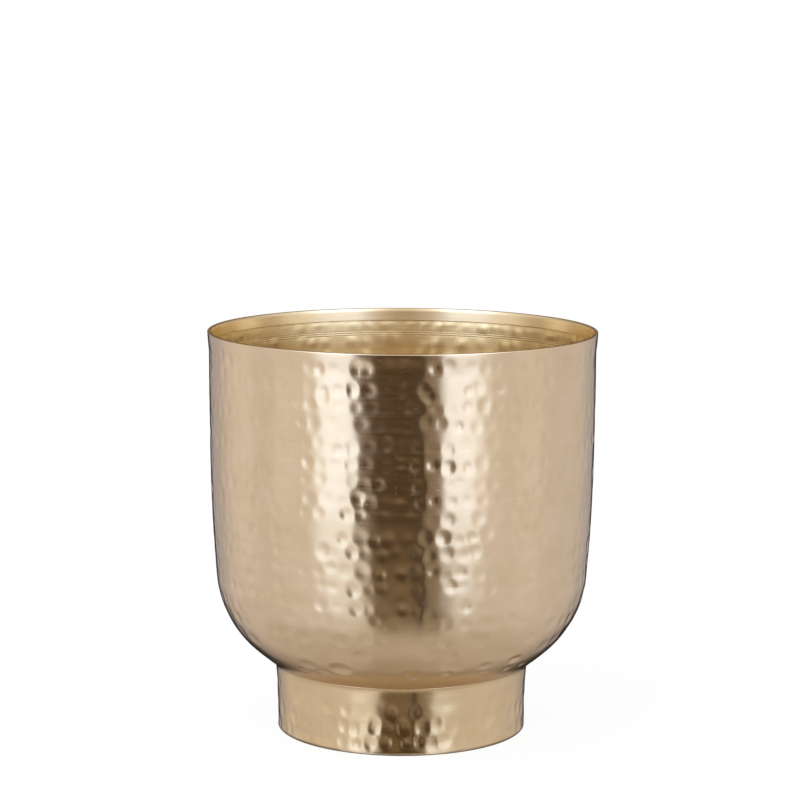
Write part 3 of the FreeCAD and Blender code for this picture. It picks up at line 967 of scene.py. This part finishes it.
LOW_PANELS = [
    (-180, DARK_BACK), (-160, DARK_BACK), (-154, (0.3, 0.27, 0.27)), (-145, (0.45, 0.4, 0.39)),
    (-130, (0.63, 0.57, 0.55)), (-50, (0.745, 0.69, 0.69)), (-44, STRIP_LOW_LEFT),
    (-23, STRIP_LOW_LEFT), (-17, FLAG_LOW), (9.5, FLAG_LOW), (11, DARK_LINE_LOW), (14, DARK_LINE_LOW),
    (15.5, (0.24, 0.19, 0.14)), (28, (0.3, 0.24, 0.18)), (33, STRIP_LOW_RIGHT), (50, STRIP_LOW_RIGHT),
    (58, (0.71, 0.65, 0.65)), (90, (0.71, 0.65, 0.64)), (130, (0.6, 0.55, 0.54)),
    (145, (0.42, 0.38, 0.37)), (154, (0.28, 0.25, 0.25)), (160, DARK_BACK), (180, DARK_BACK),
]
GROUND_PANELS = [
    (-180, GROUND_BACK), (-150, GROUND_SIDE_BACK), (-125, GROUND), (125, GROUND),
    (150, GROUND_SIDE_BACK), (180, GROUND_BACK),
]
HIGH_PANELS = [
    (-180, HIGH_BACK), (-136, HIGH_SIDE_BACK), (-115, HIGH_SIDE), (-80, (0.9, 0.86, 0.82)),
    (-66, (1.25, 1.27, 1.36)), (-52, STRIP_HIGH), (-30, STRIP_HIGH_EDGE), (-19, (1.3, 1.26, 1.28)),
    (-6, HIGH_CENTRE), (5, HIGH_CENTRE), (17, (1.35, 1.31, 1.34)), (28, STRIP_HIGH),
    (52, STRIP_HIGH_EDGE), (66, (1.18, 1.2, 1.28)), (82, (0.88, 0.84, 0.8)),
    (115, HIGH_SIDE), (136, HIGH_SIDE_BACK), (180, HIGH_BACK),
]

# The rows over the main one: degrees up where a row starts and where it is full, its change and panels
TENT_ROWS = (
    (-12, -20, "LINEAR", LOW_PANELS),
    (-22, -64, "SMOOTHSTEP", GROUND_PANELS),
    (-70, -85, "SMOOTHSTEP", [(-180, UNDER), (180, UNDER)]),
    (1, 10, "SMOOTHSTEP", HIGH_PANELS),
    (55, 75, "SMOOTHSTEP", [(-180, TOP), (180, TOP)]),
)


def panel_ramp(nodes, links, angle, panels):
    """Colours of one row of panels by their angle round the pot."""
    ramp = nodes.new("ShaderNodeValToRGB")
    stops = ramp.color_ramp.elements
    stops[0].position, stops[0].color = 0.0, (*panels[0][1], 1)
    stops[1].position, stops[1].color = 1.0, (*panels[-1][1], 1)
    for degrees, colour in panels[1:-1]:
        stop = stops.new((degrees + 180) / 360)
        stop.color = (*colour, 1)
    links.new(angle.outputs["Fac"], ramp.inputs["Fac"])
    return ramp.outputs["Color"]


def tent_material():
    """Rows of panels, one above the other, with soft changes between the rows."""
    material = bpy.data.materials.new("studio_tent")
    material.use_nodes = True
    nodes, links = material.node_tree.nodes, material.node_tree.links
    nodes.clear()
    place = nodes.new("ShaderNodeTexCoord")
    turned = nodes.new("ShaderNodeMapping")
    turned.inputs["Rotation"].default_value = (0, 0, math.pi / 2)
    links.new(place.outputs["Object"], turned.inputs["Vector"])
    angle = nodes.new("ShaderNodeTexGradient")
    angle.gradient_type = "RADIAL"
    links.new(turned.outputs["Vector"], angle.inputs["Vector"])
    apart = nodes.new("ShaderNodeSeparateXYZ")
    links.new(place.outputs["Object"], apart.inputs[0])

    last = panel_ramp(nodes, links, angle, MAIN_PANELS)
    for start, full, change, panels in TENT_ROWS:
        share = nodes.new("ShaderNodeMapRange")
        share.interpolation_type = change
        share.inputs["From Min"].default_value = TENT_RADIUS * math.sin(math.radians(start))
        share.inputs["From Max"].default_value = TENT_RADIUS * math.sin(math.radians(full))
        links.new(apart.outputs["Z"], share.inputs["Value"])
        blend = nodes.new("ShaderNodeMix")
        blend.data_type = "RGBA"
        blend.clamp_factor = True
        links.new(share.outputs["Result"], blend.inputs["Factor"])
        links.new(last, blend.inputs["A"])
        links.new(panel_ramp(nodes, links, angle, panels), blend.inputs["B"])
        last = blend.outputs["Result"]
    glow = nodes.new("ShaderNodeEmission")
    links.new(last, glow.inputs["Color"])
    output = nodes.new("ShaderNodeOutputMaterial")
    links.new(glow.outputs[0], output.inputs["Surface"])
    material.cycles.emission_sampling = "NONE"
    return material


def stage_object(mesh, name, material):
    """Stage piece of a bmesh."""
    data = bpy.data.meshes.new(name)
    mesh.to_mesh(data)
    mesh.free()
    data.materials.append(material)
    item = bpy.data.objects.new(name, data)
    bpy.context.scene.collection.objects.link(item)
    return item


def make_tent():
    """Large ball round the set. Only mirrored rays meet it."""
    mesh = bmesh.new()
    bmesh.ops.create_uvsphere(
        mesh, u_segments=TENT_SEGMENTS, v_segments=TENT_SEGMENTS // 2, radius=TENT_RADIUS,
    )
    for face in mesh.faces:
        face.smooth = True
    tent = stage_object(mesh, "studio_tent", tent_material())
    tent.visible_camera = False
    tent.visible_diffuse = False
    tent.visible_shadow = False


def floor_material():
    """White floor that keeps a soft shadow."""
    material = bpy.data.materials.new("studio_floor")
    material.use_nodes = True
    nodes, links = material.node_tree.nodes, material.node_tree.links
    nodes.clear()
    matt = nodes.new("ShaderNodeBsdfDiffuse")
    matt.inputs["Color"].default_value = (1, 1, 1, 1)
    glow = nodes.new("ShaderNodeEmission")
    glow.inputs["Color"].default_value = (1, 1, 1, 1)
    rays = nodes.new("ShaderNodeLightPath")
    tree = material.node_tree
    seen = sum_node(tree, "MAXIMUM", rays.outputs["Is Camera Ray"], rays.outputs["Is Glossy Ray"])
    all_seen = sum_node(tree, "MAXIMUM", seen, rays.outputs["Is Transmission Ray"])
    part = sum_node(tree, "MULTIPLY", all_seen, FLOOR_GLOW_SHARE)
    mixed = nodes.new("ShaderNodeMixShader")
    links.new(part, mixed.inputs["Fac"])
    links.new(matt.outputs[0], mixed.inputs[1])
    links.new(glow.outputs[0], mixed.inputs[2])
    output = nodes.new("ShaderNodeOutputMaterial")
    links.new(mixed.outputs[0], output.inputs["Surface"])
    return material


def make_floor():
    """Wide level floor under the foot."""
    mesh = bmesh.new()
    bmesh.ops.create_grid(mesh, x_segments=1, y_segments=1, size=FLOOR_HALF)
    floor = stage_object(mesh, "studio_floor", floor_material())
    floor.visible_glossy = False


make_tent()
make_floor()

world = bpy.data.worlds.new("studio_world")
world.use_nodes = True
world.node_tree.nodes["Background"].inputs["Color"].default_value = (1, 1, 1, 1)
world.node_tree.nodes["Background"].inputs["Strength"].default_value = 1.0
bpy.context.scene.world = world

lamp_data = bpy.data.lights.new("soft_lamp", "AREA")
lamp_data.shape = "RECTANGLE"
lamp_data.size, lamp_data.size_y = LAMP_SIZE, LAMP_SIZE
lamp_data.energy = LAMP_POWER
lamp = bpy.data.objects.new("soft_lamp", lamp_data)
lamp.location = LAMP_PLACE
lamp.rotation_euler = (Vector(LAMP_AIM) - lamp.location).to_track_quat("-Z", "Y").to_euler()
lamp.visible_glossy = False
bpy.context.scene.collection.objects.link(lamp)

bpy.context.scene.view_settings.view_transform = "Standard"
bpy.context.scene.cycles.glossy_bounces = 8
